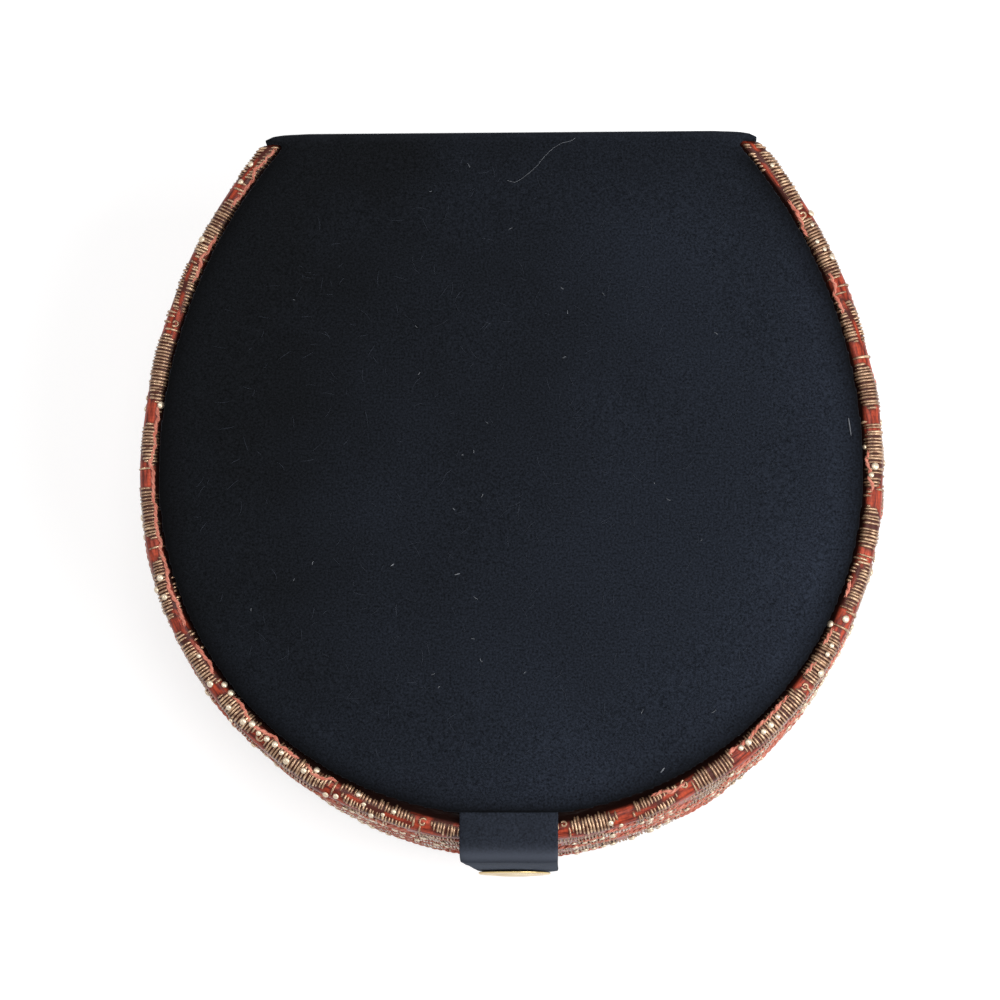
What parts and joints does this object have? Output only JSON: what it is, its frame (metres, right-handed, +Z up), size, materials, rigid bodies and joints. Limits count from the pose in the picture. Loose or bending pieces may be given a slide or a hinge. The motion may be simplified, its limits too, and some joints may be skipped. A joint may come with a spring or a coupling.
{
  "type": "trinket box",
  "caption": "Horseshoe-shaped cloth-covered trinket case with a padded velvet lid on a cloth hinge, a brocade rim and a strap that closes with a press stud.",
  "frame": {"origin": "centre of the front curve, on the underside, where the case stands", "axes": "+Z up, -Y towards the front strap, +X to the right seen from the front"},
  "size_m": [0.0998, 0.0999, 0.0389],
  "materials": {
    "velvet": "navy cotton velvet, cut pile",
    "brocade": "red brocade with gold metallic thread",
    "felt": "navy felt",
    "cotton": "plain cotton hinge cloth",
    "satin": "deep red satin lining",
    "wadding": "cotton wadding",
    "board": "grey bookbinder's board",
    "brass": "polished brass press stud"
  },
  "bodies": {
    "base": {"base_felt": "felt", "base_packing": "board", "base_board": "board", "base_wall_board": "board", "base_back_board": "board", "base_brocade_band": "brocade", "base_collar": "satin", "floor_pad": "velvet", "spine_lower": "velvet", "hinge_cloth": "cotton", "snap_stud": "brass", "snap_post": "brass"},
    "lid": {"spine_upper": "velvet", "lid_top_board": "board", "lid_wall_board": "board", "lid_back_board": "board", "lid_brocade_band": "brocade", "lid_wall_lining": "satin", "lid_lining_pad": "satin", "lid_wadding": "wadding", "lid_velvet": "velvet", "tab_root": "velvet"},
    "tab": {"tab_strap": "velvet", "snap_cap": "brass", "snap_socket": "brass"}
  },
  "joints": [
    {"name": "lid_hinge", "type": "hinge", "parent": "base", "child": "lid", "pos_m": [0, 0.0468, 0.02], "axis": [-1, 0, 0], "range_deg": [0, 180], "deforming": ["hinge_cloth"]},
    {"name": "tab_hinge", "type": "hinge", "parent": "lid", "child": "tab", "pos_m": [0, -0.05191, 0.03701], "axis": [-1, 0, 0], "range_deg": [-1.3, 90]}
  ]
}
